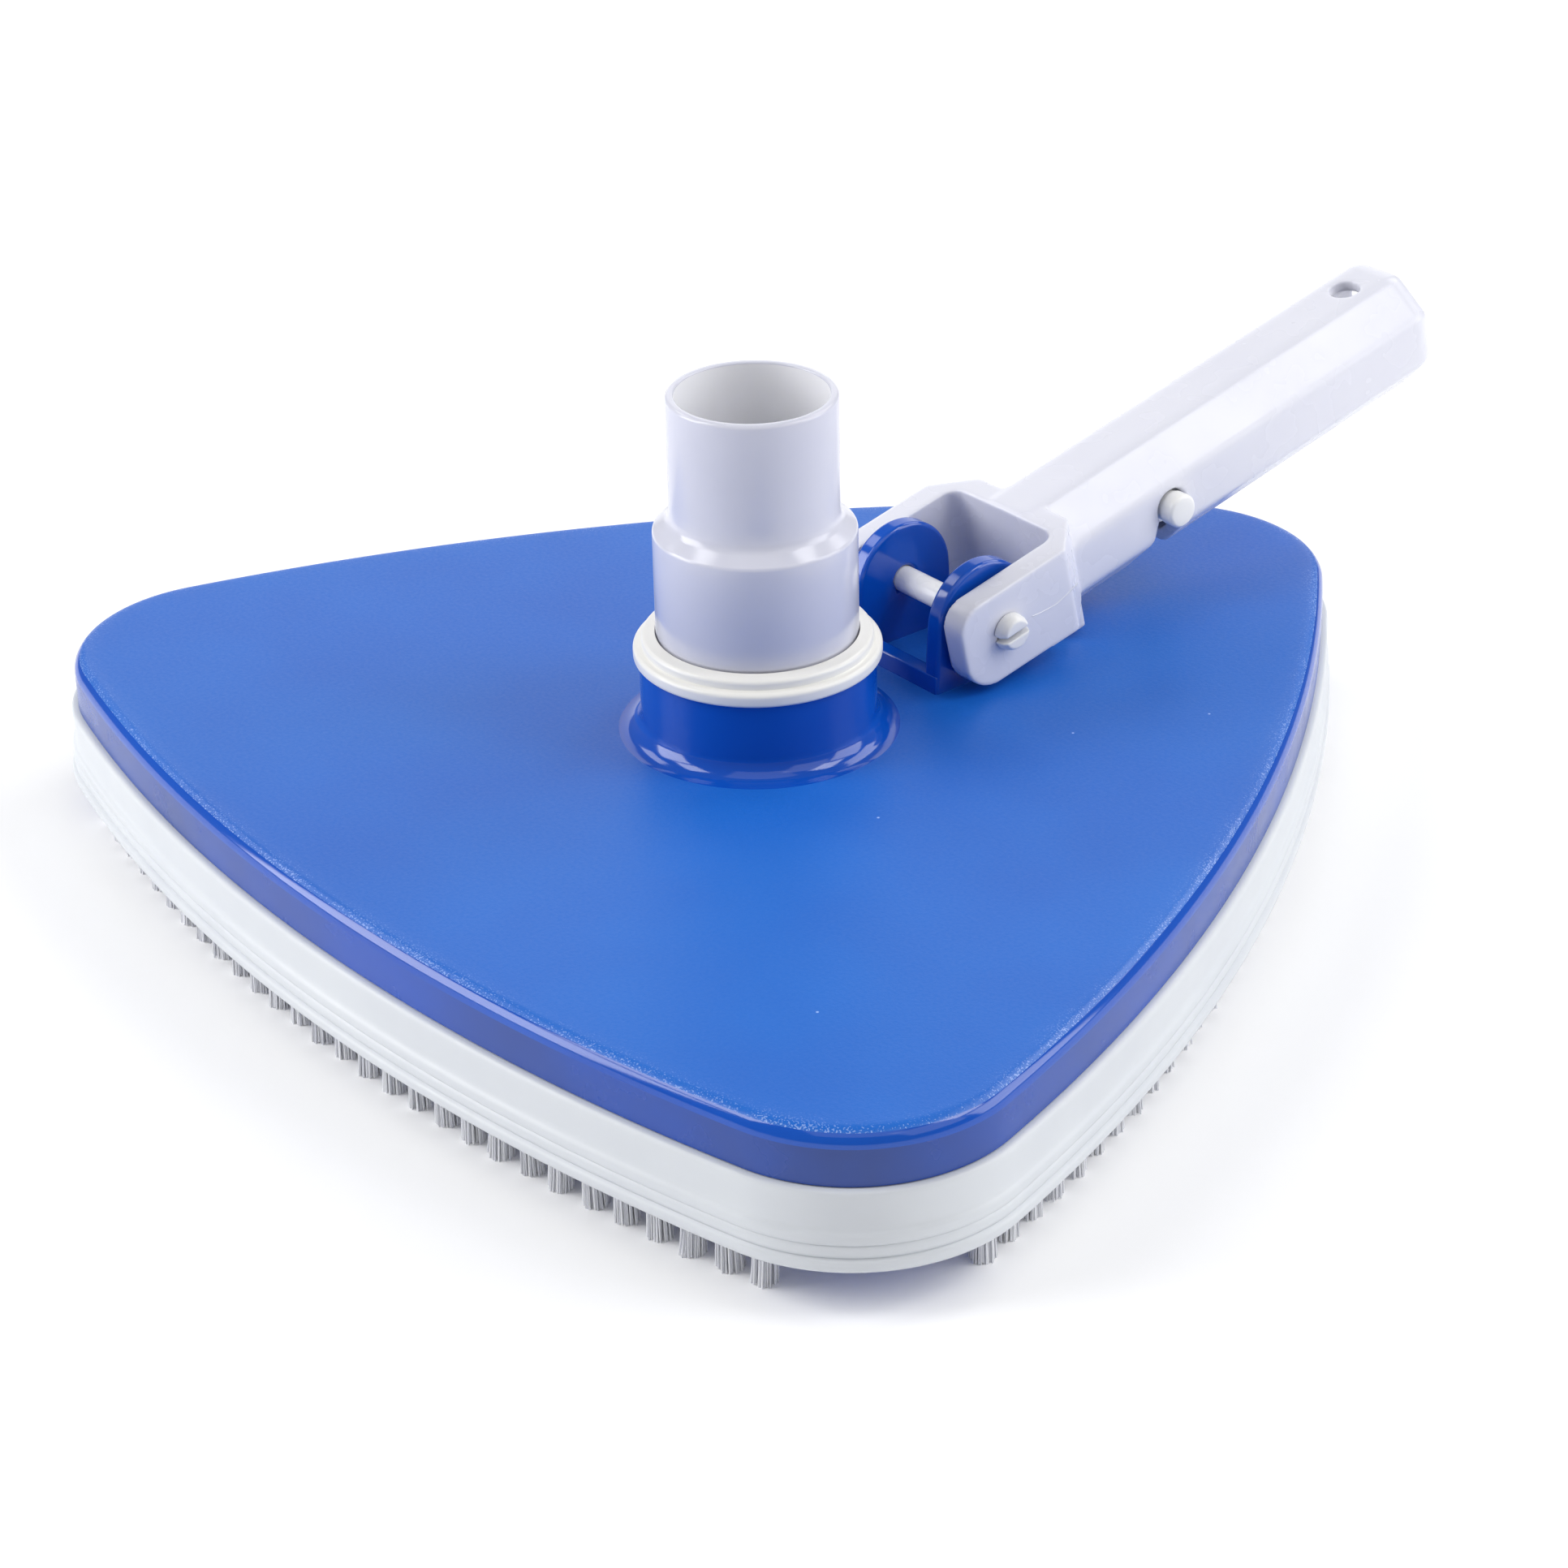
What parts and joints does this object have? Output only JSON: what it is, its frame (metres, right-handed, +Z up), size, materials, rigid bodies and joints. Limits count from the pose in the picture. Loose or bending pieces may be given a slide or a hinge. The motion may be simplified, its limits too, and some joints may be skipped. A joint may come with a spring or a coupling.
{
  "type": "weighted pool vacuum head",
  "caption": "Triangular weighted pool vacuum head with side brushes, a swivelling stepped hose cuff and a hinged clip handle for a telescopic pole.",
  "frame": {"origin": "on the hose cuff's axis, in the plane of the brush tips that the head stands on", "axes": "+Z up along the hose cuff, +Y from the hose cuff towards the corner that the handle passes over, +X along the handle's hinge pin"},
  "size_m": [0.2574, 0.2745, 0.1018],
  "materials": {
    "blue_shell": "moulded ABS with a fine spark-eroded grain on the deck and polished walls",
    "white_vinyl": "soft white vinyl with a dull sheen",
    "white_bar": "plain moulded plastic",
    "bristle": "milky nylon filament",
    "screw_steel": "stainless steel",
    "ballast_iron": "coated cast iron",
    "cream_plastic": "smooth warm white plastic",
    "white_plastic": "satin cool white ABS",
    "seal_rubber": "black nitrile",
    "pin_plastic": "smooth white acetal",
    "spring_plastic": "springy white acetal strip"
  },
  "bodies": {
    "head": {"top_shell": "blue_shell", "bumper": "white_vinyl", "base_plate": "blue_shell", "brush_bar_rear": "white_bar", "brush_bar_right": "white_bar", "brush_bar_left": "white_bar", "bristles_rear": "bristle", "bristles_right": "bristle", "bristles_left": "bristle", "brush_screws": "screw_steel", "ballast_weight_front": "ballast_iron", "ballast_weight_right": "ballast_iron", "ballast_weight_left": "ballast_iron", "base_screws": "screw_steel", "swivel_collar": "cream_plastic"},
    "cuff": {"swivel_cuff": "white_plastic", "swivel_seal": "seal_rubber"},
    "handle": {"handle_fork": "white_plastic", "pivot_pin": "pin_plastic", "clip_spring": "spring_plastic"},
    "button_right": {"clip_button_right": "pin_plastic"},
    "button_left": {"clip_button_left": "pin_plastic"}
  },
  "joints": [
    {"name": "swivel_spin", "type": "hinge", "parent": "head", "child": "cuff", "pos_m": [0, 0, 0.055], "axis": [0, 0, 1], "continuous": true},
    {"name": "handle_pivot", "type": "hinge", "parent": "head", "child": "handle", "pos_m": [0, 0.04485, 0.0468], "axis": [1, 0, 0], "range_deg": [0, 90]},
    {"name": "button_right_press", "type": "slide", "parent": "handle", "child": "button_right", "axis": [-1, 0, 0], "range_m": [0, 0.0032], "stiffness_N_per_m": 900, "springref_m": -0.002, "deforming": ["clip_spring"]},
    {"name": "button_left_press", "type": "slide", "parent": "handle", "child": "button_left", "axis": [1, 0, 0], "range_m": [0, 0.0032], "stiffness_N_per_m": 900, "springref_m": -0.002, "deforming": ["clip_spring"]}
  ]
}
